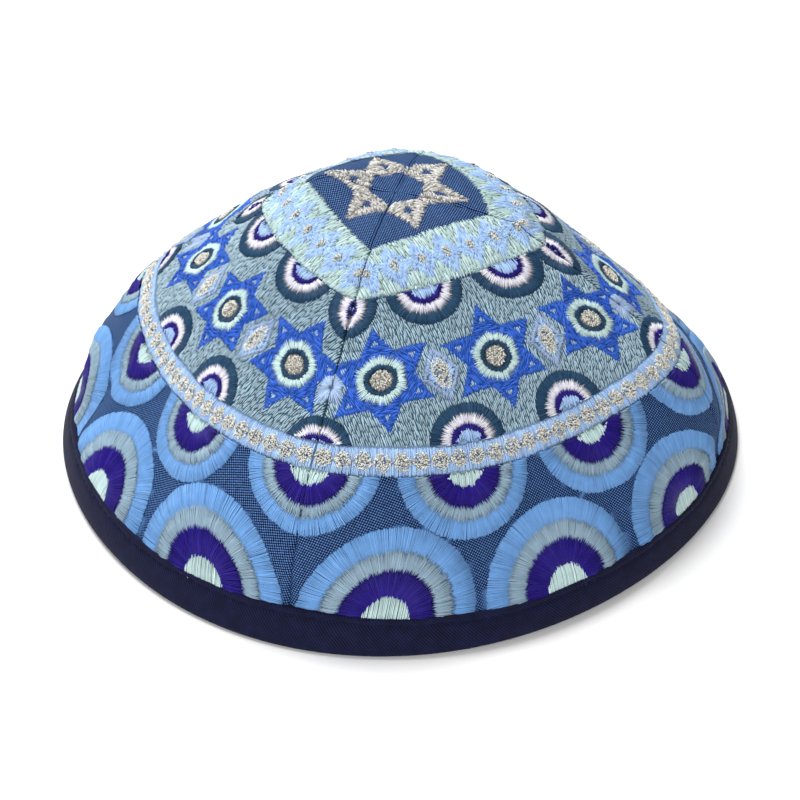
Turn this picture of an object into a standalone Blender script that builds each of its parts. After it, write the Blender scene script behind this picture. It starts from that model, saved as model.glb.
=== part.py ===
"""Four-panel cloth kippah, standing on its rim.

Four curved gores meet in seams at the front, right, back and left of a rounded-square dome, and a
tape folded over their lower edge binds the rim. Metres, +Z up, front seam towards -Y. Angles start
at the front seam and grow towards +X. The rim stands on Z = 0.
"""

import math

import bmesh
import bpy

RIM_RADIUS = 0.088  # mean radius of the rim, and the unit of the dome table
CROWN_HEIGHT = 0.801  # height of the crown, in rim radii
CROWN_ROUNDING = 0.383  # how the reach closes to nothing at the crown
CENTRE = (0.00179, -0.00088)  # middle of the bounding box, brought onto the axes

# The dome's outline over a seam and over the middle of a panel.
DOME_COLUMNS = ("height share", "seam reach", "middle reach")
DOME = (
    (0.00, 1.005, 0.995),
    (0.12, 1.006, 1.012),
    (0.28, 1.043, 0.977),
    (0.45, 1.038, 0.938),
    (0.62, 0.978, 0.899),
    (0.78, 0.892, 0.866),
    (0.90, 0.891, 0.866),
    (0.97, 0.972, 0.950),
    (1.00, 0.972, 0.950),
)

# How the soft cloth strays from an even dome, as waves round it.
STRAY_COLUMNS = ("waves", "rim cos", "rim sin", "crown cos", "crown sin")
STRAY = (
    (1, -0.0044, 0.0302, -0.0083, 0.0400),
    (2, 0.0029, -0.0266, -0.0378, 0.0256),
    (3, 0.0182, 0.0128, 0.0245, -0.0137),
)
CROWN_TILT = (0.0086, 0.0769)  # rise of the crown towards +X and +Y
SHOULDER_TILT = (0.0191, -0.0256)  # the same just below it

CLOTH = 0.0012  # panel thickness, embroidery backing included
CLOTH_INSET = 0.0005  # panel face below the outline, for the thread that lies on it
SEAM_GAP = 0.0005  # between neighbouring panels
TIP_RADIUS = 0.0012  # where a panel's tip ends beside the crown
HEM_HEIGHT = 0.0026  # lower edge of the panels above the table, inside the binding
PANEL_ROWS = 24
PANEL_COLUMNS = 16

TAPE_HEIGHT = 0.0083  # top edge of the binding
TAPE_FACE = 0.0010  # outer face of the binding, outside the outline
TAPE_WALL = 0.00115  # each leg, measured level
TAPE_SLOT = 0.0023  # between the legs, round the hem
TAPE_FOLD = 0.0012  # thickness of the fold on the table
TAPE_STATIONS = 96

PANEL_TABLE_COLUMNS = ("name", "first seam", "colour")
PANELS = (
    ("panel_front_right", 0.0, (0.16, 0.30, 0.62, 1.0)),
    ("panel_back_right", 90.0, (0.15, 0.28, 0.60, 1.0)),
    ("panel_back_left", 180.0, (0.16, 0.29, 0.61, 1.0)),
    ("panel_front_left", 270.0, (0.17, 0.31, 0.63, 1.0)),
)
BINDING_COLOUR = (0.020, 0.018, 0.085, 1.0)


def slopes(column):
    """Slopes of a monotone cubic through one column of the dome table."""
    h = [b[0] - a[0] for a, b in zip(DOME, DOME[1:])]
    d = [(b[column] - a[column]) / w for a, b, w in zip(DOME, DOME[1:], h)]
    result = [0.0] * len(DOME)
    for i in range(1, len(DOME) - 1):
        if d[i - 1] * d[i] > 0:
            w1 = 2 * h[i] + h[i - 1]
            w2 = h[i] + 2 * h[i - 1]
            result[i] = (w1 + w2) / (w1 / d[i - 1] + w2 / d[i])
    result[0] = ((2 * h[0] + h[1]) * d[0] - h[0] * d[1]) / (h[0] + h[1])
    if result[0] * d[0] <= 0:
        result[0] = 0.0
    elif d[0] * d[1] <= 0 and abs(result[0]) > 3 * abs(d[0]):
        result[0] = 3 * d[0]
    return result


SLOPES = {1: slopes(1), 2: slopes(2)}


def reach(column, u):
    """Reach of the outline at height share u, in rim radii."""
    i = max(k for k in range(len(DOME) - 1) if k == 0 or DOME[k][0] <= u)
    low, high = DOME[i], DOME[i + 1]
    width = high[0] - low[0]
    t = (u - low[0]) / width
    slope = SLOPES[column]
    value = (
        (1 + 2 * t) * (1 - t) ** 2 * low[column]
        + t * (1 - t) ** 2 * width * slope[i]
        + t * t * (3 - 2 * t) * high[column]
        + t * t * (t - 1) * width * slope[i + 1]
    )
    return value * (1 - u) ** CROWN_ROUNDING


def outline(u, angle):
    """Point of the dome's outline at height share u and angle, in metres."""
    seam_share = 0.5 + 0.5 * math.cos(4 * angle)
    r = reach(2, u) + (reach(1, u) - reach(2, u)) * seam_share
    stray = 1.0
    for waves, rim_cos, rim_sin, crown_cos, crown_sin in STRAY:
        stray += (rim_cos * (1 - u) + crown_cos * u) * math.cos(waves * angle)
        stray += (rim_sin * (1 - u) + crown_sin * u) * math.sin(waves * angle)
    x = r * stray * math.sin(angle)
    y = -r * stray * math.cos(angle)
    z = CROWN_HEIGHT * u
    z += u**3 * (CROWN_TILT[0] * x + CROWN_TILT[1] * y)
    z += 4 * u**3 * (1 - u) * (SHOULDER_TILT[0] * x + SHOULDER_TILT[1] * y)
    return (RIM_RADIUS * x - CENTRE[0], RIM_RADIUS * y - CENTRE[1], RIM_RADIUS * z)


def minus(a, b):
    return tuple(p - q for p, q in zip(a, b))


def unit(v):
    length = math.sqrt(sum(c * c for c in v))
    return tuple(c / length for c in v)


def cross(a, b):
    return (
        a[1] * b[2] - a[2] * b[1],
        a[2] * b[0] - a[0] * b[2],
        a[0] * b[1] - a[1] * b[0],
    )


def along(point, direction, distance):
    return tuple(p + distance * d for p, d in zip(point, direction))


def outward(u, angle):
    """Unit normal of the outline."""
    du = min(1e-4, 0.2 * (1 - u))
    up = minus(outline(u + du, angle), outline(max(u - du, 0.0), angle))
    round_ = minus(outline(u, angle + 1e-3), outline(u, angle - 1e-3))
    return unit(cross(round_, up))


def level_outward(u, angle):
    """Unit normal of the outline's level section."""
    x, y, _ = minus(outline(u, angle + 1e-3), outline(u, angle - 1e-3))
    return unit((y, -x, 0.0))


def even_heights(low, high, count):
    """Height shares from low to high, evenly spaced along the mean outline."""
    steps = 4000
    shares = [low + (high - low) * (1 - (1 - i / steps) ** 3) for i in range(steps + 1)]
    walked = [0.0]
    for a, b in zip(shares, shares[1:]):
        ra, rb = (0.5 * (reach(1, s) + reach(2, s)) for s in (a, b))
        walked.append(walked[-1] + math.hypot(rb - ra, CROWN_HEIGHT * (b - a)))
    result = []
    k = 0
    for i in range(count + 1):
        goal = walked[-1] * i / count
        while k < steps - 1 and walked[k + 1] < goal:
            k += 1
        part = (goal - walked[k]) / (walked[k + 1] - walked[k])
        result.append(shares[k] + min(max(part, 0.0), 1.0) * (shares[k + 1] - shares[k]))
    return result


def coloured(name, colour, roughness):
    material = bpy.data.materials.new(name)
    material.use_nodes = True
    shader = material.node_tree.nodes["Principled BSDF"]
    shader.inputs["Base Color"].default_value = colour
    shader.inputs["Roughness"].default_value = roughness
    material.diffuse_color = colour
    return material


def add_object(name, points, faces, material, collection):
    mesh = bpy.data.meshes.new(name)
    work = bmesh.new()
    corners = [work.verts.new(point) for point in points]
    for face in faces:
        work.faces.new([corners[i] for i in face])
    work.to_mesh(mesh)
    work.free()
    mesh.materials.append(material)
    obj = bpy.data.objects.new(name, mesh)
    collection.objects.link(obj)
    return obj


def add_panel(name, first_seam, colour, collection):
    """One gore, lofted from row to row between two seams, then given its thickness inwards."""
    tip = 1 - (TIP_RADIUS / (RIM_RADIUS * DOME[-1][1])) ** (1 / CROWN_ROUNDING)
    heights = even_heights(HEM_HEIGHT / (RIM_RADIUS * CROWN_HEIGHT), tip, PANEL_ROWS)
    start = math.radians(first_seam)
    points = []
    for u in heights:
        edges = []
        for seam in (start, start + math.pi / 2):
            x, y, _ = outline(u, seam)
            radius = math.hypot(x + CENTRE[0], y + CENTRE[1])
            edges.append(math.asin(min(0.5 * SEAM_GAP / radius, 1.0)))
        low, high = start + edges[0], start + math.pi / 2 - edges[1]
        for j in range(PANEL_COLUMNS + 1):
            angle = low + (high - low) * j / PANEL_COLUMNS
            points.append(along(outline(u, angle), outward(u, angle), -CLOTH_INSET))
    faces = []
    width = PANEL_COLUMNS + 1
    for i in range(PANEL_ROWS):
        for j in range(PANEL_COLUMNS):
            a = i * width + j
            faces.append((a, a + 1, a + width + 1, a + width))
    obj = add_object(name, points, faces, coloured(name + "_cloth", colour, 0.8), collection)
    wall = obj.modifiers.new("cloth", "SOLIDIFY")
    wall.thickness = CLOTH
    wall.offset = -1.0
    wall.use_rim = True
    return obj


def add_binding(collection):
    """The tape, as one closed loft of its folded section round the rim."""
    top = TAPE_HEIGHT
    half = 0.5 * TAPE_HEIGHT
    inner_leg = TAPE_FACE - TAPE_WALL - TAPE_SLOT
    section = (
        (TAPE_FACE, 0.0),
        (TAPE_FACE, half),
        (TAPE_FACE, top),
        (TAPE_FACE - TAPE_WALL, top),
        (TAPE_FACE - TAPE_WALL, half),
        (TAPE_FACE - TAPE_WALL, TAPE_FOLD),
        (inner_leg, TAPE_FOLD),
        (inner_leg, half),
        (inner_leg, top),
        (inner_leg - TAPE_WALL, top),
        (inner_leg - TAPE_WALL, half),
        (inner_leg - TAPE_WALL, 0.0),
    )
    points = []
    for i in range(TAPE_STATIONS):
        angle = 2 * math.pi * i / TAPE_STATIONS
        for out, height in section:
            u = height / (RIM_RADIUS * CROWN_HEIGHT)
            x, y, _ = along(outline(u, angle), level_outward(u, angle), out)
            points.append((x, y, height))
    count = len(section)
    faces = []
    for i in range(TAPE_STATIONS):
        here = i * count
        there = (i + 1) % TAPE_STATIONS * count
        for j in range(count):
            k = (j + 1) % count
            faces.append((here + j, there + j, there + k, here + k))
    return add_object(
        "rim_binding",
        points,
        faces,
        coloured("rim_binding_tape", BINDING_COLOUR, 0.75),
        collection,
    )


def main():
    for obj in list(bpy.data.objects):
        bpy.data.objects.remove(obj)
    collection = bpy.data.collections.new("kippah")
    bpy.context.scene.collection.children.link(collection)
    for name, first_seam, colour in PANELS:
        add_panel(name, first_seam, colour, collection)
    add_binding(collection)


main()
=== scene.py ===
"""Looks of the kippah: ground cloth, embroidery threads, seams, folds and taped rim, with floor, light and camera.

Lengths are in millimetres until a mesh is written. Each panel is charted flat: X across from its middle,
Y down from the crown, and place() lays chart points on the dome.
"""

import math

import bpy
import numpy as np
from mathutils import Matrix, Vector


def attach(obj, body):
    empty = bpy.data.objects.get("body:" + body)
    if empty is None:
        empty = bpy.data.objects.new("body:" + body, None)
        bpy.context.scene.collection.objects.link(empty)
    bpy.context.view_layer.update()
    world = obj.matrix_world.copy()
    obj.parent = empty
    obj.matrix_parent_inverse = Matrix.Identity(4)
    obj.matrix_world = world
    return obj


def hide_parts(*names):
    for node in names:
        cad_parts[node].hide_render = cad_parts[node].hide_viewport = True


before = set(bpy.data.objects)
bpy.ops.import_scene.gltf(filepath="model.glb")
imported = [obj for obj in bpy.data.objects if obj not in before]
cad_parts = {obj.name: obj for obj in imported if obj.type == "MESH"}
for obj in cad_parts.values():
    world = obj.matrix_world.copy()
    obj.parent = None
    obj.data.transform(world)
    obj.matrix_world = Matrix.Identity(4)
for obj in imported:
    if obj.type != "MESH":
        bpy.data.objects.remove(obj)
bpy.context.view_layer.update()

# ---------------------------------------------------------------- dome

RIM_RADIUS = 88.0
CROWN_HEIGHT = 0.801
CROWN_ROUNDING = 0.383
CENTRE = np.array([1.79, -0.88])
DOME = np.array(
    [  # height share, seam reach, middle reach
        (0.00, 1.005, 0.995),
        (0.12, 1.006, 1.012),
        (0.28, 1.043, 0.977),
        (0.45, 1.038, 0.938),
        (0.62, 0.978, 0.899),
        (0.78, 0.892, 0.866),
        (0.90, 0.891, 0.866),
        (0.97, 0.972, 0.950),
        (1.00, 0.972, 0.950),
    ]
)
STRAY = (  # waves, rim cos, rim sin, crown cos, crown sin
    (1, -0.0044, 0.0302, -0.0083, 0.0400),
    (2, 0.0029, -0.0266, -0.0378, 0.0256),
    (3, 0.0182, 0.0128, 0.0245, -0.0137),
)
CROWN_TILT = (0.0086, 0.0769)
SHOULDER_TILT = (0.0191, -0.0256)
ARC = 119.8  # chart length from crown to rim
BAND_TOP = 110.4  # chart distance where the binding begins


def cubic_slopes(x, y):
    h, d = np.diff(x), np.diff(y) / np.diff(x)
    m = np.zeros(len(x))
    for i in range(1, len(x) - 1):
        if d[i - 1] * d[i] > 0:
            w1, w2 = 2 * h[i] + h[i - 1], h[i] + 2 * h[i - 1]
            m[i] = (w1 + w2) / (w1 / d[i - 1] + w2 / d[i])
    m[0] = ((2 * h[0] + h[1]) * d[0] - h[0] * d[1]) / (h[0] + h[1])
    if m[0] * d[0] <= 0:
        m[0] = 0.0
    elif d[0] * d[1] <= 0 and abs(m[0]) > 3 * abs(d[0]):
        m[0] = 3 * d[0]
    return m


SLOPES = {c: cubic_slopes(DOME[:, 0], DOME[:, c]) for c in (1, 2)}


def reach(column, u):
    x, y, m = DOME[:, 0], DOME[:, column], SLOPES[column]
    i = np.clip(np.searchsorted(x, u, side="right") - 1, 0, len(x) - 2)
    h = x[i + 1] - x[i]
    t = (u - x[i]) / h
    value = (
        (1 + 2 * t) * (1 - t) ** 2 * y[i]
        + t * (1 - t) ** 2 * h * m[i]
        + t * t * (3 - 2 * t) * y[i + 1]
        + t * t * (t - 1) * h * m[i + 1]
    )
    return value * np.maximum(1 - u, 0) ** CROWN_ROUNDING


def outline(u, a):
    share = 0.5 + 0.5 * np.cos(4 * a)
    r = reach(2, u) + (reach(1, u) - reach(2, u)) * share
    stray = 1.0
    for waves, rc, rs, cc, cs in STRAY:
        stray = stray + (rc * (1 - u) + cc * u) * np.cos(waves * a)
        stray = stray + (rs * (1 - u) + cs * u) * np.sin(waves * a)
    x, y = r * stray * np.sin(a), -r * stray * np.cos(a)
    z = CROWN_HEIGHT * u + u**3 * (CROWN_TILT[0] * x + CROWN_TILT[1] * y)
    z = z + 4 * u**3 * (1 - u) * (SHOULDER_TILT[0] * x + SHOULDER_TILT[1] * y)
    return np.stack(
        [RIM_RADIUS * x - CENTRE[0], RIM_RADIUS * y - CENTRE[1], RIM_RADIUS * z], -1
    )


ANGLES, STEPS = 720, 480


def dome_table():
    """Points and normals of the outline by angle and by arc from the crown, both evenly spaced."""
    shares = 1 - np.linspace(0, 1, 1601) ** 3
    goal = np.linspace(0, 1, STEPS + 1)
    heights = np.empty((ANGLES, STEPS + 1))
    angles = np.arange(ANGLES) * 2 * np.pi / ANGLES
    for k, a in enumerate(angles):
        p = outline(shares, np.full_like(shares, a))
        walked = np.concatenate(
            [[0], np.cumsum(np.linalg.norm(np.diff(p, axis=0), axis=1))]
        )
        heights[k] = np.interp(goal * walked[-1], walked, shares)
    points = outline(heights, angles[:, None])
    across = np.roll(points, -1, 0) - np.roll(points, 1, 0)
    down = np.gradient(points, axis=1)
    normals = np.cross(down, across)
    length = np.linalg.norm(normals, axis=-1, keepdims=True)
    normals = normals / np.maximum(length, 1e-12)
    normals[:, :3] = normals[:, 3].mean(0)
    normals /= np.linalg.norm(normals, axis=-1, keepdims=True)
    return points, normals


POINTS, NORMALS = dome_table()
if NORMALS[0, STEPS // 2] @ POINTS[0, STEPS // 2] < 0:
    NORMALS = -NORMALS


def on_dome(s, a):
    """Point and normal at chart distance s from the crown and angle a."""
    fs = np.clip(s / ARC, 0, 1) * STEPS
    fa = (a / (2 * np.pi) * ANGLES) % ANGLES
    i0 = np.minimum(fs.astype(int), STEPS - 1)
    k0 = fa.astype(int) % ANGLES
    k1 = (k0 + 1) % ANGLES
    ts, ta = (fs - i0)[..., None], (fa - np.floor(fa))[..., None]
    result = []
    for table in (POINTS, NORMALS):
        low = table[k0, i0] * (1 - ta) + table[k1, i0] * ta
        high = table[k0, i0 + 1] * (1 - ta) + table[k1, i0 + 1] * ta
        result.append(low * (1 - ts) + high * ts)
    return result


# ---------------------------------------------------------------- panel chart

PANELS = (  # name, angle of its middle in degrees
    ("front_right", 45.0),
    ("back_right", 135.0),
    ("back_left", 225.0),
    ("front_left", 315.0),
)
FLATTENING = (  # chart distance, chart angle over dome angle
    (0, 0.998),
    (12, 0.998),
    (24, 0.989),
    (36, 0.949),
    (48, 0.908),
    (60, 0.881),
    (72, 0.859),
    (84, 0.835),
    (96, 0.807),
    (108, 0.772),
    (119.8, 0.734),
)
FLAT_S, FLAT_K = np.array(FLATTENING).T
QUARTER = math.radians(45)
GROUND = 0.6  # the ground cloth lies this far inside the outline, under its threads


def smooth(x, low, high):
    t = np.clip((x - low) / (high - low), 0, 1)
    return t * t * (3 - 2 * t)


def polar(x, y):
    """Chart distance, angle from the panel's middle, and distance from its nearer seam."""
    s = np.hypot(x, y)
    phi = np.arctan2(x, y) / np.interp(s, FLAT_S, FLAT_K)
    seam = s * np.interp(s, FLAT_S, FLAT_K) * (QUARTER - np.abs(phi))
    return s, phi, seam


def chart(s, phi):
    psi = np.interp(s, FLAT_S, FLAT_K) * phi
    return s * np.sin(psi), s * np.cos(psi)


def waves_field(seed, count, short, long):
    rng = np.random.default_rng(seed)
    direction = rng.normal(size=(count, 3))
    direction /= np.linalg.norm(direction, axis=1, keepdims=True)
    k = direction * (2 * np.pi / rng.uniform(short, long, count))[:, None]
    phase = rng.uniform(0, 2 * np.pi, count)
    return k, phase, 1 / math.sqrt(count / 2)


FIELDS = {
    "slack": waves_field(3, 9, 26, 60),
    "ripple": waves_field(5, 14, 9, 19),
    "fuzz": waves_field(8, 16, 3.0, 6.5),
}


def field(name, p):
    k, phase, scale = FIELDS[name]
    total = np.zeros(p.shape[:-1])
    for ki, fi in zip(k, phase):
        total += np.sin(p @ ki + fi)
    return total * scale


# panel, angle from its middle, chart distances where it starts and ends, width, depth
FOLDS = (
    (0, 13.5, 80, 113, 3.2, -1.25),
    (0, 16.0, 84, 112, 6.0, 0.55),
    (0, -14.5, 84, 112, 7.0, -0.45),
    (3, -13.0, 74, 110, 4.5, 0.75),
    (3, -18.0, 78, 112, 3.5, -0.80),
    (3, 14.0, 86, 112, 5.0, -0.50),
    (1, 4.0, 82, 111, 4.5, -0.70),
    (1, -20.0, 80, 110, 5.0, 0.50),
    (2, 16.0, 80, 111, 4.0, -0.80),
    (2, -9.0, 82, 112, 5.5, 0.45),
)


# angle, distance from the crown, half length, half width, depth of the softer places
SOFT_PLACES = (
    (266.0, 17.0, 7.5, 12.0, 2.8),
    (236.0, 31.0, 11.0, 13.0, -2.3),
    (126.0, 72.0, 28.0, 35.0, -1.7),
    (266.0, 86.0, 13.0, 20.0, -1.3),
)


# angle, spread in degrees, how far the rows there sit below their even places, turn in degrees
UNEVEN = (
    (93.0, 27.0, 2.6, 1.0),
    (330.0, 26.0, -0.8, 0.0),
    (45.0, 16.0, 0.5, 0.6),
)


def place(panel, x, y, lift):
    """Chart points of a panel, laid on the soft dome and raised by lift."""
    s, phi, seam = polar(x, y)
    a = math.radians(PANELS[panel][1]) + phi
    reach_of = smooth(s, 22, 48) * (1 - smooth(s, 90, 112))
    down = turn = 0.0
    for angle, spread, sink, degrees in UNEVEN:
        off = (np.degrees(a) - angle + 180) % 360 - 180
        share = np.exp(-((off / spread) ** 2)) * reach_of
        down, turn = down + sink * share, turn + math.radians(degrees) * share
    p, n = on_dome(s + down, a + turn)
    ends = smooth(s, 2, 14) * (1 - smooth(s, 100, BAND_TOP + 1))
    d = ends * (0.22 * field("slack", p) + 0.13 * field("ripple", p))
    side = np.where(phi > 0, 1.0, -1.0)
    crease = 0.55 * np.exp(-np.maximum(seam, 0) / 4.5)
    pucker = np.sin(2 * np.pi * s / 4.6 + 1.9 * np.sin(s / 7.3 + panel) + side)
    groove = -0.68 * np.exp(-((np.maximum(seam, 0) / 0.6) ** 2))
    groove *= 1 - 0.6 * np.exp(-(((s - BEAD_ROW) / 4.5) ** 2))
    d = d + (crease + 0.13 * pucker * np.exp(-np.maximum(seam, 0) / 2.4)) * ends
    d = d + groove * smooth(s, 0, 5) * (1 - smooth(s, 108, 113))
    for where, middle, start, end, width, depth in FOLDS:
        if where == panel:
            across = s * np.interp(s, FLAT_S, FLAT_K) * (phi - math.radians(middle))
            run = smooth(s, start, start + 10) * (1 - smooth(s, end - 3, end + 1))
            d = d + depth * run * np.exp(-((across / width) ** 2))
    for angle, distance, long, wide, depth in SOFT_PLACES:
        off = np.mod(a - math.radians(angle) + np.pi, 2 * np.pi) - np.pi
        along = (s * np.cos(off) - distance) / long
        across = s * np.sin(off) / wide
        d = d + depth * np.exp(-(along**2) - across**2) * (np.cos(off) > 0)
    return p + n * (d + lift - GROUND)[..., None]


# ---------------------------------------------------------------- motif shapes

MINT_TOPS = ((17.2, -1.2, 15.0), (19.3, -2.9, 15.0), (21.5, -4.5, 15.0), (17.2, -1.2, 15.0))
MINT_LOW = (33.0, -5.5, 24.0)
BEAD_ROW, BEAD_HALF = 75.0, 3.35


def mint_edge(x, edge):
    return edge[0] + edge[1] * (x / edge[2]) ** 2


def seam_point(s, side, beyond=0.0):
    x, y = chart(np.array(s), np.array(side * (QUARTER + beyond / s)))
    return float(x), float(y)


# Rings of each round figure: outer radius and thread, from the outside in.
HANGING = ((9.5, "teal"), (7.0, "white"), (4.8, "violet"), (3.5, "pale"))
HANGING_SEAM = ((8.5, "teal"), (6.0, "white"), (3.7, "violet"), (2.9, "pale"))
STANDING = ((9.4, "teal"), (6.9, "white"), (4.7, "violet"), (3.3, "pale"))
STANDING_SEAM = ((8.3, "teal"), (6.2, "white"), (4.4, "violet"), (2.9, "pale"))
GREAT_HANGING = ((15.6, "sky"), (12.0, "mist"), (9.2, "violet"), (4.7, "mint"))
GREAT_STANDING = ((20.8, "sky"), (15.8, "mist"), (11.5, "violet"), (5.5, "mint"))


HANGING_JOG = (1.2, 0.0, 0.0, -1.0)  # how far each panel's hanging pair sits off its middle


def round_figures(panel):
    """centre, rings, stretch along Y, family"""
    rows = []
    for side in (-1, 1):
        rows.append(((side * 10.6 + HANGING_JOG[panel], 31.6), HANGING, 1.05, "hanging"))
        rows.append((seam_point(39.4, side, 2.6), HANGING_SEAM, 1.0, "hanging"))
        rows.append(((side * 13.8, 70.3), STANDING, 1.0, "standing"))
        rows.append((seam_point(73.8, side), STANDING_SEAM, 1.0, "standing"))
        rows.append(((side * 16.9, 75.6), GREAT_HANGING, 1.06, "great_hanging"))
        rows.append((seam_point(77.8, side), GREAT_HANGING, 1.03, "great_hanging"))
        rows.append((chart_point(110.2, side * 30.0), GREAT_STANDING, 1.0, "great_standing"))
    rows.append(((0.0, 110.2), GREAT_STANDING, 1.0, "great_standing"))
    return rows


def chart_point(s, degrees):
    x, y = chart(np.array(s), np.array(math.radians(degrees)))
    return float(x), float(y)


STARS = (  # centre and turn in degrees
    ((0.0, 53.4), 0.0),
    ((-27.0, 48.7), 12.5),
    ((27.0, 48.7), -12.5),
)
STAR_RADIUS = 13.6
DIAMONDS = (((-14.0, 53.0), 5.0, 7.7), ((14.0, 53.0), 5.0, 7.7))


def seam_diamonds():
    return [(seam_point(58.5, side), 3.4, 6.4) for side in (-1, 1)]


SPARKS = [  # the row of pale diamonds on the mint band
    (6.6 * k, 25.4 - 3.5 * (6.6 * k / 20) ** 2) for k in range(-3, 4)
]
SPARK_HALF = (4.0, 7.3)


def star_inside(x, y, centre, turn, radius=STAR_RADIUS, shrink=0.0):
    t = math.radians(turn)
    px, py = x - centre[0], y - centre[1]
    # The turn leans the side stars' tops towards the panel's middle.
    qx, qy = px * math.cos(t) + py * math.sin(t), -px * math.sin(t) + py * math.cos(t)
    up = down = -1e9
    for k in range(3):
        nx, ny = math.sin(2 * math.pi * k / 3), math.cos(2 * math.pi * k / 3)
        up = np.maximum(up, qx * nx + qy * ny)
        down = np.maximum(down, -qx * nx - qy * ny)
    return np.minimum(up, down) < radius / 2 - shrink


def diamond_inside(x, y, centre, wide, tall, shrink=0.0):
    px, py = np.abs(x - centre[0]), np.abs(y - centre[1])
    slope = math.hypot(1 / wide, 1 / tall)
    return px / wide + py / tall < 1 - shrink * slope


def circle_inside(x, y, centre, radius, stretch, shrink=0.0):
    return np.hypot(x - centre[0], (y - centre[1]) / stretch) < radius - shrink


def in_panel(x, y, margin=0.2):
    s, _, seam = polar(x, y)
    return (seam > margin) & (s < 117) & (s > 0.3)


def in_mint(panel, x, y, margin=0.0):
    top = mint_edge(x, MINT_TOPS[panel])
    return (y > top + margin) & (y < mint_edge(x, MINT_LOW) - margin)


def in_bead_row(x, y, margin=0.0):
    return np.abs(np.hypot(x, y) - BEAD_ROW) < BEAD_HALF - margin


def in_middle(x, y, margin=0.0):
    s = np.hypot(x, y)
    return (y > mint_edge(x, MINT_LOW) + margin) & (s < BEAD_ROW - BEAD_HALF - margin)


def in_lower(x, y, margin=0.0):
    s = np.hypot(x, y)
    return (s > BEAD_ROW + BEAD_HALF + margin) & (s < BAND_TOP + 1.2)


ZONES = {
    "hanging": in_middle,
    "standing": in_middle,
    "great_hanging": in_lower,
    "great_standing": in_lower,
}

# The crown figure is charted on the level plane over the crown, tips at these dome angles.
CROWN_TIPS = (33.0, 92.0, 150.0, 213.0, 272.0, 330.0)
CROWN_REACH, CROWN_HOLE = 18.2, 6.2
CROWN_SHIFT = (-0.55, 2.0)


def crown_polar(panel, x, y, centre=(0.0, 0.0)):
    """Distance and angle in degrees about a centre on the level plane, where X is right and Y goes to the back."""
    s, phi, _ = polar(x, y)
    a = phi + math.radians(PANELS[panel][1])
    px, py = s * np.sin(a) - centre[0], -s * np.cos(a) - centre[1]
    return np.hypot(px, py), np.degrees(np.arctan2(px, -py)) % 360


def crown_star(panel, x, y, shrink=0.0):
    s, a = crown_polar(panel, x, y, CROWN_SHIFT)
    tips = np.array(CROWN_TIPS)
    best = np.full(s.shape, 1e9)
    inner = CROWN_REACH / math.sqrt(3)
    for k in range(6):
        turn = np.radians((a - tips[k] + 180) % 360 - 180)
        along, off = s * np.cos(turn), np.abs(s * np.sin(turn))
        # A kite from the hollow's corner out to the tip.
        edge = off * math.cos(math.radians(30)) + along * math.sin(math.radians(30))
        inside = np.where(
            (np.abs(turn) < math.radians(30.5)), edge - CROWN_REACH / 2, 1e9
        )
        best = np.minimum(best, inside)
    hole = np.full(s.shape, -1e9)
    for k in range(6):
        middle = np.radians((a - tips[k] + 180) % 360 - 180)
        hole = np.maximum(hole, s * np.cos(middle))
    solid = (best < -shrink) & (hole > CROWN_HOLE + shrink) & (s < CROWN_REACH)
    for k in range(6):
        turn = np.radians((a - tips[k] + 180) % 360 - 180)
        along, off = s * np.cos(turn), np.abs(s * np.sin(turn))
        eye = (np.abs(along - 10.4) + off * 1.1) < 1.45 + shrink
        solid &= ~eye
    return solid


# ---------------------------------------------------------------- colour of the cloth under the threads, with painted shade


def linear(rgb):
    c = np.array(rgb, float) / 255
    return np.where(c <= 0.04045, c / 12.92, ((c + 0.055) / 1.055) ** 2.4)


THREADS = {  # sRGB of each thread
    "sky": (112, 163, 220),
    "pale": (170, 202, 246),
    "steel": (166, 192, 206),
    "mist": (144, 170, 188),
    "violet": (34, 16, 122),
    "mint": (198, 225, 224),
    "white": (230, 228, 240),
    "teal": (34, 72, 104),
    "royal": (52, 108, 216),
    "silver": (240, 237, 231),
    "pearl": (255, 247, 234),
    "grey": (162, 186, 220),
}
NAVY = (25, 44, 110)
# Painted shade: the dark teal painted under the steel filling, standing in for the shaded gaps between its stitches.
STEEL_GAP_SHADE = (58, 92, 112)
SHADE = {"silver": 0.5, "pearl": 0.5, "teal": 0.8}  # how dark the cloth looks between the threads


def cloth_colour(panel, x, y):
    """Colour of the ground at each chart point: a darker copy of the thread lying over it, painted shade for the
    gaps between its stitches, or navy.
    """
    m = 0.35
    colour = np.empty(x.shape + (3,))
    colour[:] = linear(NAVY)
    ground = np.zeros(x.shape)

    def paint(inside, thread):
        # Painted shade: the cloth under a thread is painted as a darker copy of that thread, standing in for the
        # shade in the gaps between its stitches.
        colour[inside] = linear(THREADS[thread]) * SHADE.get(thread, 0.72)
        # The steel filling's painted shade is its own dark teal rather than a darker copy of the steel.
        if thread == "steel":
            colour[inside] = linear(STEEL_GAP_SHADE)
        ground[inside] = 1.0

    paint(in_middle(x, y, -0.1), "steel")
    for centre, rings, stretch, family in round_figures(panel):
        zone = ZONES[family](x, y, -0.1)
        for radius, thread in rings:
            inside = circle_inside(x, y, centre, radius, stretch, m)
            paint(inside & zone, thread)
    for centre, turn in STARS:
        paint(star_inside(x, y, centre, turn, shrink=m), "royal")
        paint(circle_inside(x, y, centre, 5.6, 1), "mint")
        paint(circle_inside(x, y, centre, 4.5, 1), "teal")
        paint(circle_inside(x, y, centre, 2.5, 1), "pearl")
    for centre, wide, tall in list(DIAMONDS) + seam_diamonds():
        paint(diamond_inside(x, y, centre, wide, tall, m), "pale")
    paint(in_mint(panel, x, y, m), "mint")
    paint(in_bead_row(x, y, m), "pale")
    paint(crown_star(panel, x, y, 0.3), "silver")
    # Painted shade in the seam grooves: the ground is darkened by up to four tenths within about half a millimetre
    # of each seam.
    _, _, seam = polar(x, y)
    colour *= (1 - 0.4 * np.exp(-((np.maximum(seam, 0) / 0.45) ** 2)))[..., None]
    return colour, ground


# ---------------------------------------------------------------- threads


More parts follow.
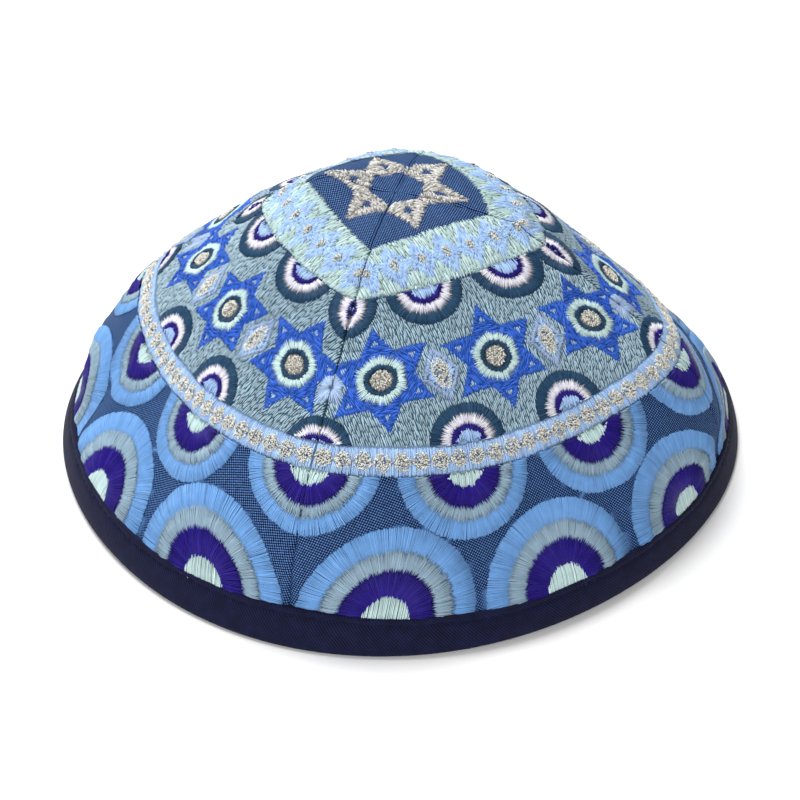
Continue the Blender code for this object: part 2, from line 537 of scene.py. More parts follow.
class Threads:
    """Stitches of one panel, gathered by thread, as chart segments."""

    def __init__(self):
        self.rows = {}

    def add(self, thread, a, b, lift, high, pad, width, ends=(0.55, 0.55), over=None):
        """ends is how far each end takes to narrow: short ends look blunt, long ones look pointed.

        over is the height of the second end's tip, where it lies over another thread."""
        if len(a) == 0:
            return
        n = len(a)
        full = lambda v: np.broadcast_to(np.asarray(v, float), (n,)).copy()
        low = 0.45 * (full(lift) + full(high)) - 0.04
        tips = (
            np.where(full(ends[0]) < 0.2, 0.0, low),
            np.where(full(ends[1]) < 0.2, 0.0, low if over is None else full(over)),
        )
        self.rows.setdefault(thread, []).append(
            (a, b, full(lift), full(high), full(pad), full(width), full(ends[0]), full(ends[1]), *tips)
        )


def clipped(a, b, inside, samples=14, shortest=0.5):
    """The longest stretch of each segment that lies inside."""
    t = np.linspace(0, 1, samples)
    x = a[:, None, 0] * (1 - t) + b[:, None, 0] * t
    y = a[:, None, 1] * (1 - t) + b[:, None, 1] * t
    ok = inside(x, y)
    run = np.zeros(len(a), int)
    best = np.zeros(len(a), int)
    last = np.zeros(len(a), int)
    for k in range(samples):
        run = (run + 1) * ok[:, k]
        better = run > best
        best[better] = run[better]
        last[better] = k
    first = last - best + 1
    t0 = np.where(first <= 0, 0.0, t[np.clip(first, 0, samples - 1)] - 0.5 / samples)
    t1 = np.where(last >= samples - 1, 1.0, t[last] + 0.5 / samples)
    na = a + (b - a) * t0[:, None]
    nb = a + (b - a) * t1[:, None]
    keep = (best > 1) & (np.linalg.norm(nb - na, axis=1) > shortest)
    return na[keep], nb[keep], keep


def teeth(rng, n, size):
    """Uneven ends for n neighbouring stitches, partly in pairs."""
    pairs = np.repeat(rng.uniform(-0.45, 0.45, n // 2 + 1), 2)[:n]
    return size * np.clip(pairs + rng.uniform(-0.8, 0.8, n), -1, 1)


def radial(rng, centre, inner, outer, pitch, inside, stretch=1.0, jitter=(0.3, 0.3), arc=(0, 360)):
    """Stitches that fan out from a centre, between two radii that may depend on the angle."""
    low, high = math.radians(arc[0]), math.radians(arc[1])
    sample = np.linspace(low, high, 181)
    reach_out = outer(sample) if callable(outer) else np.full(181, float(outer))
    length = np.trapezoid(reach_out, sample) if hasattr(np, "trapezoid") else np.trapz(reach_out, sample)
    n = max(int(length / pitch), 3)
    theta = low + (np.arange(n) + rng.uniform(0.36, 0.64, n)) * (high - low) / n
    r0 = inner(theta) if callable(inner) else np.full(n, float(inner))
    r1 = outer(theta) if callable(outer) else np.full(n, float(outer))
    r0 = r0 + teeth(rng, n, jitter[0])
    r1 = r1 + teeth(rng, n, jitter[1])
    lean = theta + rng.normal(0, 0.05, n) / np.maximum(r1, 1.0)
    x0, y0 = np.sin(theta), np.cos(theta) * stretch
    x1, y1 = np.sin(lean), np.cos(lean) * stretch
    a = np.stack([centre[0] + r0 * x0, centre[1] + r0 * y0], 1)
    b = np.stack([centre[0] + r1 * x1, centre[1] + r1 * y1], 1)
    return clipped(a, b, inside)[:2]


def filled(rng, inside, box, angle, pitch, longest, jitter=0.3, wander=0.0):
    """Parallel stitches over an area, in runs no longer than longest, staggered from line to line."""
    x0, y0, x1, y1 = box
    cx, cy = (x0 + x1) / 2, (y0 + y1) / 2
    half = math.hypot(x1 - x0, y1 - y0) / 2
    t = math.radians(angle)
    along = np.array([math.sin(t), math.cos(t)])
    across = np.array([math.cos(t), -math.sin(t)])
    offsets = np.arange(-half, half, pitch)
    offsets = offsets + rng.uniform(-0.18, 0.18, len(offsets)) * pitch
    step = 0.2
    p = np.arange(-half, half, step)
    q, pp = np.meshgrid(offsets, p, indexing="ij")
    x = cx + across[0] * q + along[0] * pp
    y = cy + across[1] * q + along[1] * pp
    ok = inside(x, y)
    starts, ends = [], []
    for k in range(len(offsets)):
        row = ok[k]
        if not row.any():
            continue
        edge = np.diff(np.concatenate([[0], row.astype(int), [0]]))
        shift = rng.uniform(0, longest)
        for i, j in zip(np.flatnonzero(edge == 1), np.flatnonzero(edge == -1)):
            lo, hi = p[i] - step / 2, p[j - 1] + step / 2
            if hi - lo < 0.5:
                continue
            cuts = [lo]
            c = lo + (shift % longest) * 0.9 + 0.5
            while hi - lo > longest * 1.25 and c < hi - 0.8:
                cuts.append(c + rng.uniform(-0.3, 0.3))
                c += longest * rng.uniform(0.8, 1.15)
            cuts.append(hi)
            for m, n in zip(cuts, cuts[1:]):
                ja, jb = rng.uniform(-jitter, jitter, 2)
                wa, wb = rng.normal(0, wander, 2) if wander else (0, 0)
                sa = (offsets[k] + wa, m + ja * (m == lo) - 0.12 * (m != lo))
                sb = (offsets[k] + wb, n + jb * (n == hi) + 0.12 * (n != hi))
                starts.append(sa)
                ends.append(sb)
    if not starts:
        return np.zeros((0, 2)), np.zeros((0, 2))
    starts, ends = np.array(starts), np.array(ends)
    base = np.array([cx, cy])
    return (
        base + starts[:, :1] * across + starts[:, 1:] * along,
        base + ends[:, :1] * across + ends[:, 1:] * along,
    )


def rings_inside(centre, radius, stretch):
    return lambda x, y: circle_inside(x, y, centre, radius, stretch)


def taken_by_figures(panel, x, y, m=0.15):
    """Where a round figure, star or diamond lies over the middle zone's filling."""
    taken = np.zeros(x.shape, bool)
    for centre, rings, stretch, family in round_figures(panel):
        if family in ("hanging", "standing"):
            taken |= circle_inside(x, y, centre, rings[0][0], stretch, m)
    for centre, turn in STARS:
        taken |= star_inside(x, y, centre, turn, shrink=m)
    for centre, wide, tall in list(DIAMONDS) + seam_diamonds():
        taken |= diamond_inside(x, y, centre, wide, tall, m)
    return taken


def tip_holes(centre, turn):
    """Centres of a star's six small openings, with the direction each points."""
    for k in range(6):
        t = math.radians(60 * k + 180 - turn)
        yield (centre[0] + 9.1 * math.sin(t), centre[1] + 9.1 * math.cos(t)), t


def hole_inside(x, y, centre, t, size=1.05):
    px, py = x - centre[0], y - centre[1]
    along, off = px * math.sin(t) + py * math.cos(t), px * math.cos(t) - py * math.sin(t)
    inside = along > -size * 0.55
    return inside & (along * 0.5 + np.abs(off) * 0.866 < size * 0.55)


def stitch_panel(panel):
    rng = np.random.default_rng(100 + panel)
    out = Threads()
    inner = lambda x, y: in_panel(x, y, 0.1)

    # Steel filling of the middle zone.
    area = lambda x, y: inner(x, y) & in_middle(x, y) & ~taken_by_figures(panel, x, y, 0.45)
    a, b = filled(rng, area, (-54, 27, 54, 73), 0, 0.45, 2.5, 0.2, 0.05)
    a, b = spun(a, b, rng.normal(0.02, 0.06, len(a)))
    out.add("steel", a, b, rng.uniform(0, 0.08, len(a)), rng.uniform(0.14, 0.24, len(a)), 0.08, 0.41)

    # Round figures.
    for centre, rings, stretch, family in round_figures(panel):
        zone = ZONES[family]
        great = family.startswith("great")
        inside = lambda x, y, zone=zone: inner(x, y) & zone(x, y)
        if family == "standing":
            inside = lambda x, y, zone=zone: inner(x, y) & zone(x, y)
        for k, (radius, thread) in enumerate(rings):
            low = rings[k + 1][0] if k + 1 < len(rings) else 0.0
            edge = (0.22 if great else 0.38) if k == 0 else 0.42
            lift = 0.06 + (0.12 if great else 0.10) * k
            over = None if k == 0 else (0.42 if great else 0.33) + (lift - 0.06) * 0.75
            if low:
                pitch = 0.29 if great else 0.30
                a, b = radial(
                    rng, centre, low - (1.3 if great else 1.0), radius, pitch, inside, stretch, (0.2, edge)
                )
                high = rng.uniform(0.12, 0.20, len(a))
                pad = 0.34 if great else 0.22
                blunt = (0.3 if great else 0.6) if k == 0 else 1.15
                wide = 0.40 if great else 0.38
                out.add(thread, a, b, lift, high, pad, wide, (0.6, blunt), over)
            else:
                core = lambda x, y, r=radius, zone=inside: (
                    circle_inside(x, y, centre, r, stretch, 0.05) & zone(x, y)
                )
                box = (centre[0] - 6, centre[1] - 6, centre[0] + 6, centre[1] + 6)
                angle = math.degrees(math.atan2(centre[0], centre[1])) if great else 0
                a, b = filled(rng, core, box, angle, 0.33, 6.5 if great else 4.2, 0.5, 0.03)
                out.add(thread, a, b, lift, rng.uniform(0.13, 0.19, len(a)), 0.2, 0.39)

    # Stars: each point stitched square to its two edges, then the rings in its middle.
    for centre, turn in STARS:
        holes = list(tip_holes(centre, turn))
        for k, (hole, t) in enumerate(holes):

            def point(x, y, t=t, centre=centre, turn=turn, holes=holes):
                px, py = x - centre[0], y - centre[1]
                off = px * math.cos(t) - py * math.sin(t)
                along = px * math.sin(t) + py * math.cos(t)
                wedge = (along > 0) & (np.abs(off) < along * math.tan(math.radians(30)) + 0.15)
                ok = inner(x, y) & in_middle(x, y) & wedge
                ok &= star_inside(x, y, centre, turn) & (np.hypot(px, py) > 5.3)
                for h, ht in holes:
                    ok &= ~hole_inside(x, y, h, ht)
                return ok

            box = (centre[0] - 14, centre[1] - 14, centre[0] + 14, centre[1] + 14)
            direction = math.degrees(t) + 90 + (7 if k % 2 else -7)
            a, b = filled(rng, point, box, direction, 0.35, 3.4, 0.45, 0.04)
            lift = rng.uniform(0.04, 0.14, len(a))
            out.add("royal", a, b, lift, rng.uniform(0.12, 0.20, len(a)), 0.12, 0.39, (0.9, 0.9))
            eye = lambda x, y, hole=hole, t=t: hole_inside(x, y, hole, t, 1.15) & inner(x, y)
            box = (hole[0] - 2, hole[1] - 2, hole[0] + 2, hole[1] + 2)
            a, b = filled(rng, eye, box, 0, 0.42, 3.0, 0.05)
            out.add("grey", a, b, 0.02, 0.16, 0.02, 0.45)
        six = lambda th, r, turn=turn: r * (1 + 0.045 * np.cos(6 * th + math.radians(6 * turn)))
        a, b = radial(rng, centre, 3.4, lambda th: six(th, 6.05), 0.31, inner, 1, (0.3, 0.45))
        out.add("mint", a, b, 0.2, rng.uniform(0.14, 0.20, len(a)), 0.12, 0.38, (0.5, 0.8), 0.3)
        a, b = radial(rng, centre, 2.5, lambda th: six(th, 4.3), 0.31, inner, 1, (0.3, 0.55))
        out.add("teal", a, b, 0.28, rng.uniform(0.14, 0.20, len(a)), 0.14, 0.38, (0.5, 1.0))
        silver_spot(rng, out, centre, 2.95, 2.95, inner, 0.42)

    # Diamonds between the stars.
    for centre, wide, tall in DIAMONDS:
        edge = lambda th, w=wide, h=tall: 1 / (np.abs(np.sin(th)) / w + np.abs(np.cos(th)) / h)
        a, b = radial(rng, centre, lambda th: 0.62 * edge(th), edge, 0.31, inner, 1, (0.3, 0.35))
        out.add("grey", a, b, 0.26, rng.uniform(0.14, 0.20, len(a)), 0.1, 0.37, (0.5, 0.9), 0.25)
        a, b = radial(rng, centre, lambda th: 0.3 * edge(th), lambda th: 0.74 * edge(th), 0.32, inner, 1, (0.3, 0.5))
        out.add("pale", a, b, 0.32, rng.uniform(0.14, 0.20, len(a)), 0.16, 0.38)
        silver_spot(rng, out, centre, 2.5, 5.0, inner, 0.52, 19)
    for centre, wide, tall in seam_diamonds():
        edge = lambda th, w=wide, h=tall: 1 / (np.abs(np.sin(th)) / w + np.abs(np.cos(th)) / h)
        a, b = radial(rng, centre, 0.3, edge, 0.42, inner, 1, (0.3, 0.3))
        out.add("grey", a, b, 0.16, rng.uniform(0.14, 0.20, len(a)), 0.12, 0.46)

    # Mint band and its row of pale diamonds with silver hearts.
    band = lambda x, y: inner(x, y) & in_mint(panel, x, y)
    for k, (lift, tall) in enumerate(((0.16, 4.3),)):
        a, b = filled(rng, band, (-32, 14, 32, 35), 0, 0.35, tall, 0.4, 0.04)
        out.add("mint", a, b, lift, rng.uniform(0.12, 0.21, len(a)), 0.1, 0.40)
    for centre in SPARKS:
        if panel in (1, 2):
            centre = (centre[0], centre[1] + 1.2)
        edge = lambda th: 1.0 / (
            np.abs(np.sin(th)) / SPARK_HALF[0] + np.abs(np.cos(th)) / SPARK_HALF[1]
        )
        mid = lambda th: 0.5 * edge(th)
        a, b = radial(rng, centre, mid, edge, 0.30, inner, 1, (0.4, 0.7))
        out.add("pale", a, b, 0.30, rng.uniform(0.12, 0.21, len(a)), 0.12, 0.37)
        a, b = radial(rng, centre, 0.6, lambda th: 0.68 * edge(th), 0.31, inner, 1, (0.3, 0.7))
        out.add("pale", a, b, 0.36, rng.uniform(0.12, 0.21, len(a)), 0.14, 0.37)
        silver_spot(rng, out, centre, 1.15, 2.2, inner, 0.62)

    # Beaded band.
    n = int(2 * QUARTER / 0.31 * BEAD_ROW * 0.855)
    phi = np.linspace(-QUARTER, QUARTER, n) + rng.normal(0, 0.0006, n)
    for low, high_s in ((-BEAD_HALF, 0.25), (-0.25, BEAD_HALF)):
        j = rng.uniform(-0.25, 0.25, (2, n))
        xa, ya = chart(BEAD_ROW + low + j[0], phi)
        xb, yb = chart(BEAD_ROW + high_s + j[1], phi)
        a, b = np.stack([xa, ya], 1), np.stack([xb, yb], 1)
        a, b, _ = clipped(a, b, inner)
        out.add("pale", a, b, 0.2, rng.uniform(0.13, 0.20, len(a)), 0.14, 0.39)
    pitch = 4.45 / (BEAD_ROW * 0.855)
    count = int(round(2 * QUARTER / pitch))
    for k in range(count):
        ph = -QUARTER + (k + 0.5) * 2 * QUARTER / count
        centre = chart_xy(BEAD_ROW + rng.uniform(-0.2, 0.2), ph)
        silver_spot(rng, out, centre, rng.uniform(2.3, 2.55), rng.uniform(2.7, 3.05), inner, 0.5, 20)

    # Crown figure, in the silver thread.
    for tip in CROWN_TIPS:
        gap = (tip - PANELS[panel][1] + 180) % 360 - 180
        if abs(gap) > 95:
            continue
        for side in (-1, 1):

            def kite(x, y, tip=tip, side=side):
                _, a = crown_polar(panel, x, y, CROWN_SHIFT)
                turn = (a - tip + 180) % 360 - 180
                return inner(x, y) & crown_star(panel, x, y) & (turn * side >= 0) & (np.abs(turn) < 30.5)

            direction = gap + side * 62
            a, b = filled(rng, kite, (-21, 0, 21, 21), direction, 0.33, 3.0, 0.5, 0.10)
            turnj = rng.normal(0, 0.16, len(a))
            a, b = spun(a, b, turnj)
            lift = rng.uniform(0.05, 0.25, len(a))
            out.add("silver", a, b, lift, rng.uniform(0.16, 0.3, len(a)), 0.08, 0.42)
    return out


def chart_xy(s, phi):
    x, y = chart(np.array(s), np.array(phi))
    return float(x), float(y)


def spun(a, b, turn):
    """Turns each segment about its middle."""
    mid, half = (a + b) / 2, (b - a) / 2
    c, s = np.cos(turn), np.sin(turn)
    half = np.stack([half[:, 0] * c - half[:, 1] * s, half[:, 0] * s + half[:, 1] * c], 1)
    return mid - half, mid + half


def silver_spot(rng, out, centre, wide, tall, inside, lift, density=16):
    """A small domed patch of short silver stitches lying every way."""
    n = max(int(wide * tall * density), 20)
    r, t = np.sqrt(rng.uniform(0, 1, n)), rng.uniform(0, 2 * np.pi, n)
    x, y = centre[0] + r * wide * 0.8 * np.cos(t), centre[1] + r * tall * 0.8 * np.sin(t)
    d = rng.uniform(0, np.pi, n)
    half = rng.uniform(0.30, 0.58, n)
    a = np.stack([x - half * np.cos(d), y - half * np.sin(d)], 1)
    b = np.stack([x + half * np.cos(d), y + half * np.sin(d)], 1)
    near = lambda px, py: (
        np.hypot((px - centre[0]) / wide, (py - centre[1]) / tall) < 1.08
    ) & inside(px, py)
    a, b, keep = clipped(a, b, near, 8, 0.35)
    dome = lift + 0.34 * (1 - r[keep] ** 2)
    out.add("pearl", a, b, dome, rng.uniform(0.16, 0.26, len(a)), 0.04, 0.32, (0.25, 0.25))


# ---------------------------------------------------------------- meshes


def write_mesh(name, points, faces, uv=None, attributes=(), smooth_shade=True):
    """points in millimetres; faces as an (n, k) array; uv by point."""
    mesh = bpy.data.meshes.new(name)
    n, k = faces.shape
    mesh.vertices.add(len(points))
    mesh.vertices.foreach_set("co", (points * 0.001).astype(np.float32).ravel())
    mesh.loops.add(n * k)
    mesh.loops.foreach_set("vertex_index", faces.astype(np.int32).ravel())
    mesh.polygons.add(n)
    mesh.polygons.foreach_set("loop_start", np.arange(0, n * k, k, dtype=np.int32))
    mesh.polygons.foreach_set("use_smooth", np.full(n, smooth_shade))
    mesh.update(calc_edges=True)
    if uv is not None:
        layer = mesh.uv_layers.new(name="lay")
        layer.data.foreach_set("uv", uv[faces.ravel()].astype(np.float32).ravel())
    for label, kind, values in attributes:
        attribute = mesh.attributes.new(label, kind, "POINT")
        key = "color" if kind == "FLOAT_COLOR" else "value"
        attribute.data.foreach_set(key, values.astype(np.float32).ravel())
    mesh.validate()
    obj = bpy.data.objects.new(name, mesh)
    bpy.context.scene.collection.objects.link(obj)
    return obj


# Where a stitch's sections lie along it, how high each is and how much padding lifts it.
SECTION_T = np.array([0.0, 0.14, 0.5, 0.86, 1.0])
SECTION_HIGH = np.array([0.0, 0.85, 1.0, 0.85, 0.0])
SECTION_PAD = np.array([0.0, 0.48, 1.0, 0.48, 0.0])


LONG, SHORT = (0, 1, 2, 3, 4), (0, 2, 4)  # the sections that a stitch uses
SHORT_STITCH = 1.25


def strand_faces(sections):
    """Triangles of one stitch: a point, rings of three, and a point."""
    last = 3 * (len(sections) - 2) + 1
    faces = [(0, 2, 1), (0, 3, 2), (0, 1, 3)]
    for k in range(1, last - 3, 3):
        for i, j in ((0, 1), (1, 2), (2, 0)):
            faces += [(k + i, k + j, k + 3 + j), (k + i, k + 3 + j, k + 3 + i)]
    k = last - 3
    faces += [(last, k, k + 1), (last, k + 1, k + 2), (last, k + 2, k)]
    return np.array(faces), last + 1


def strand_arrays(panel, rows, rng):
    """One set of mesh arrays for the long stitches and one for the short."""
    data = [np.concatenate(c) for c in zip(*rows)]
    short = np.linalg.norm(data[1] - data[0], axis=1) < SHORT_STITCH
    for mine, sections in ((~short, LONG), (short, SHORT)):
        if mine.any():
            yield strand_part(panel, [c[mine] for c in data], sections, rng)


def strand_part(panel, data, sections, rng):
    a, b, lift, high, pad, width, end_a, end_b, tip_a, tip_b = data
    n = len(a)
    length = np.linalg.norm(b - a, axis=1)
    direction = (b - a) / length[:, None]
    side = np.stack([direction[:, 1], -direction[:, 0]], 1)
    # The first and last sections stay near the ends on long stitches.
    t = np.broadcast_to(SECTION_T, (n, 5)).copy()
    t[:, 1] = np.minimum(end_a / length, 0.36)
    t[:, 3] = 1 - np.minimum(end_b / length, 0.36)
    bow = rng.normal(0, 0.035, n)
    xs, ys, zs, us, vs = [], [], [], [], []
    start = rng.uniform(0, 50, n)
    top = (lift + high)[:, None] * SECTION_HIGH[None] + pad[:, None] * SECTION_PAD[None]
    for k in sections:
        mx = a[:, 0] + (b - a)[:, 0] * t[:, k] + side[:, 0] * bow * 4 * t[:, k] * (1 - t[:, k])
        my = a[:, 1] + (b - a)[:, 1] * t[:, k] + side[:, 1] * bow * 4 * t[:, k] * (1 - t[:, k])
        if k in (0, 4):
            xs.append(mx[:, None]), ys.append(my[:, None])
            zs.append((tip_a if k == 0 else tip_b)[:, None])
            us.append(np.full((n, 1), 0.5))
            vs.append((start + t[:, k] * length)[:, None])
            continue
        end = end_a if k == 1 else end_b
        w = width / 2 * np.where((k == 2) | (end < 0.2), 1.0, 0.85)
        xs.append(np.stack([mx - side[:, 0] * w, mx, mx + side[:, 0] * w], 1))
        ys.append(np.stack([my - side[:, 1] * w, my, my + side[:, 1] * w], 1))
        foot = top[:, k] - high * 1.05
        zs.append(np.stack([foot, top[:, k], foot], 1))
        us.append(np.broadcast_to([0.0, 0.5, 1.0], (n, 3)))
        vs.append(np.repeat((start + t[:, k] * length)[:, None], 3, 1))
    x, y, z = (np.concatenate(c, 1) for c in (xs, ys, zs))
    p = place(panel, x, y, z).reshape(-1, 3)
    uv = np.stack([np.concatenate(us, 1), np.concatenate(vs, 1)], -1).reshape(-1, 2)
    one, count = strand_faces(sections)
    faces = (np.arange(n)[:, None, None] * count + one[None]).reshape(-1, 3)
    tone = np.repeat(rng.normal(0, 1, n), count)
    return p, faces, uv, tone


def build_threads(materials):
    pieces = {}
    for panel in range(4):
        rng = np.random.default_rng(500 + panel)
        out = stitch_panel(panel)
        for thread, rows in out.rows.items():
            group = "front" if panel in (0, 3) else "back"
            pieces.setdefault((thread, group), []).extend(strand_arrays(panel, rows, rng))
    total = 0
    objects = []
    for (thread, group), parts in sorted(pieces.items()):
        offset = 0
        points, faces, uvs, tones = [], [], [], []
        for p, f, uv, tone in parts:
            points.append(p), faces.append(f + offset), uvs.append(uv), tones.append(tone)
            offset += len(p)
        faces = np.concatenate(faces)
        total += len(faces)
        print(f"threads {thread} {group}: {len(faces)} triangles")
        obj = write_mesh(
            f"threads_{thread}_{group}",
            np.concatenate(points),
            faces,
            np.concatenate(uvs),
            [("tone", "FLOAT", np.concatenate(tones))],
        )
        obj.data.materials.append(materials[thread])
        objects.append(obj)
    print("threads in all", total)
    return objects


CLOTH_THICK = 1.0
HEM = 116.5


def gore_area():
    """Flat area of one panel in square metres, from its chart."""
    s = np.linspace(0.25, HEM, 400)
    rows = [chart(np.full(61, v), np.linspace(-QUARTER, QUARTER, 61)) for v in s]
    x, y = (np.array(c) for c in zip(*rows))
    along = np.stack([np.diff(x, axis=0)[:, :-1], np.diff(y, axis=0)[:, :-1]])
    across = np.stack([np.diff(x, axis=1)[:-1], np.diff(y, axis=1)[:-1]])
    return float(np.abs(along[0] * across[1] - along[1] * across[0]).sum() * 1e-6)


def build_cloth(panel, material):
    """One gore of ground cloth, a closed sheet between its two seams."""
    rows, columns = 92, 72
    s = np.concatenate([[0.25], np.linspace(1.0, HEM, rows)])
    fraction = np.linspace(-1, 1, columns + 1)
    # Columns crowd a little towards the seams, where the groove is.
    fraction = np.sin(fraction * np.pi / 2 * 0.86) / math.sin(np.pi / 2 * 0.86)
    ss, ff = np.meshgrid(s, fraction, indexing="ij")
    x, y = chart(ss, ff * QUARTER)
    face = place(panel, x, y, np.full(x.shape, -0.02))
    back = place(panel, x, y, np.full(x.shape, -0.02 - CLOTH_THICK))
    colour, ground = cloth_colour(panel, x, y)
    inner_colour = np.empty_like(colour)
    inner_colour[:] = linear(NAVY) * 0.8
    h, w = x.shape
    index = np.arange(h * w).reshape(h, w)
    a, b = index[:-1, :-1].ravel(), index[:-1, 1:].ravel()
    c, d = index[1:, 1:].ravel(), index[1:, :-1].ravel()
    front = np.stack([d, c, b, a], 1)
    rear = np.stack([a, b, c, d], 1) + h * w
    edge = np.concatenate([index[0], index[1:, -1], index[-1, -2::-1], index[-2:0:-1, 0]])
    following = np.roll(edge, -1)
    rim = np.stack([edge, following, following + h * w, edge + h * w], 1)
    faces = np.concatenate([front, rear, rim])
    points = np.concatenate([face.reshape(-1, 3), back.reshape(-1, 3)])
    uv = np.tile(np.stack([x.ravel(), y.ravel()], 1), (2, 1))
    rgb = np.concatenate([colour.reshape(-1, 3), inner_colour.reshape(-1, 3)])
    rgba = np.concatenate([rgb, np.ones((len(rgb), 1))], 1)
    covered = np.concatenate([ground.ravel(), np.zeros(h * w)])
    obj = write_mesh(
        f"cloth_{PANELS[panel][0]}",
        points,
        faces,
        uv,
        [("ground", "FLOAT_COLOR", rgba), ("covered", "FLOAT", covered)],
    )
    obj.data.materials.append(material)
    return obj


# Section of the folded tape: distance outside the outline, height.
TAPE_SECTION = (
    (-2.35, 8.35),
    (-2.75, 8.0),
    (-2.95, 5.5),
    (-3.0, 2.0),
    (-2.7, 0.45),
    (-2.3, 0.06),
    (-1.5, 0.0),
    (-0.9, 0.08),
    (-0.3, 0.38),
    (0.12, 0.95),
    (0.36, 2.0),
    (0.44, 3.2),
    (0.46, 4.4),
    (0.44, 5.6),
    (0.38, 6.4),
    (0.16, 6.85),
    (0.02, 7.1),
    (0.14, 7.35),
    (0.36, 7.8),
    (0.36, 8.15),
    (0.22, 8.4),
    (-0.1, 8.5),
    (-0.6, 8.35),
    (-1.2, 8.1),
    (-1.9, 8.2),
)


def level_frame(z, a):
    u = z / (RIM_RADIUS * CROWN_HEIGHT)
    p = outline(u, a)
    q = outline(u, a + 1e-3) - outline(u, a - 1e-3)
    n = np.stack([q[..., 1], -q[..., 0], np.zeros_like(q[..., 0])], -1)
    return p, n / np.linalg.norm(n, axis=-1, keepdims=True)


def tape_point(a, out, z):
    """A point of the tape, with the slight unevenness of a sewn binding."""
    wave = 0.16 * np.sin(5 * a + 0.7) + 0.10 * np.sin(11 * a + 2.1) + 0.06 * np.sin(29 * a)
    up = smooth(z, 3.0, 8.0)
    zz = z + up * (0.22 * np.sin(7 * a + 1.0) + 0.12 * np.sin(17 * a + 0.3))
    fold = 0.10 * np.sin(43 * a + z * 0.8) * np.exp(-(((z - 7.1) / 1.3) ** 2)) * (out > 0)
    p, n = level_frame(zz, a)
    return p + n * (out + (wave * up * (out > 0)) * 0.6 + fold)[..., None]


def build_tape(material):
    stations = 540
    section = np.array(TAPE_SECTION)
    a = np.arange(stations) * 2 * np.pi / stations
    aa, out = np.meshgrid(a, section[:, 0], indexing="ij")
    _, z = np.meshgrid(a, section[:, 1], indexing="ij")
    p = tape_point(aa, out, z)
    m = len(section)
    walked = np.concatenate([[0], np.cumsum(np.hypot(*np.diff(section, axis=0).T))])
    index = np.arange(stations * m).reshape(stations, m)
    following = np.roll(index, -1, 0)
    faces = np.stack([following, index, np.roll(index, -1, 1), np.roll(following, -1, 1)], -1)
    uv = np.stack([aa * RIM_RADIUS, np.broadcast_to(walked, aa.shape)], -1).reshape(-1, 2)
    obj = write_mesh("rim_tape", p.reshape(-1, 3), faces.reshape(-1, 4), uv)
    obj.data.materials.append(material)
    return obj


def build_tape_stitches(material):
    """The line of stitches sunk in the groove below the tape's upper edge."""
    rng = np.random.default_rng(71)
    n = 222
    a = (np.arange(n) + 0.5) * 2 * np.pi / n
    half = 0.0112 * rng.uniform(0.9, 1.05, n)
    t = np.array([-1.0, -0.7, 0.0, 0.7, 1.0])
    level = 7.08 + rng.normal(0, 0.04, n)
    points = []
    for k, tk in enumerate(t):
        high = (-0.15, 0.18, 0.26, 0.18, -0.15)[k]
        if k in (0, 4):
            points.append(tape_point(a + half * tk, np.full(n, high), level)[:, None])
            continue
        points.append(
            np.stack(
                [
                    tape_point(a + half * tk, np.full(n, high - 0.22), level - 0.2),
                    tape_point(a + half * tk, np.full(n, high), level),
                    tape_point(a + half * tk, np.full(n, high - 0.22), level + 0.2),
                ],
                1,
            )
        )
    p = np.concatenate(points, 1).reshape(-1, 3)
    base = np.arange(n)[:, None, None] * 11
    tris = [(0, 2, 1), (0, 3, 2), (0, 1, 3), (10, 7, 8), (10, 8, 9), (10, 9, 7)]
    for k in (1, 4):
        for i, j in ((0, 1), (1, 2), (2, 0)):
            tris += [(k + i, k + j, k + 3 + j), (k + i, k + 3 + j, k + 3 + i)]
    faces = (base + np.array(tris)[None]).reshape(-1, 3)
    uv = np.tile(np.array([[0.5, 0.0]]), (len(p), 1))
    obj = write_mesh("rim_tape_stitches", p, faces, uv, [("tone", "FLOAT", np.zeros(len(p)))])
    obj.data.materials.append(material)
    return obj


# ---------------------------------------------------------------- materials


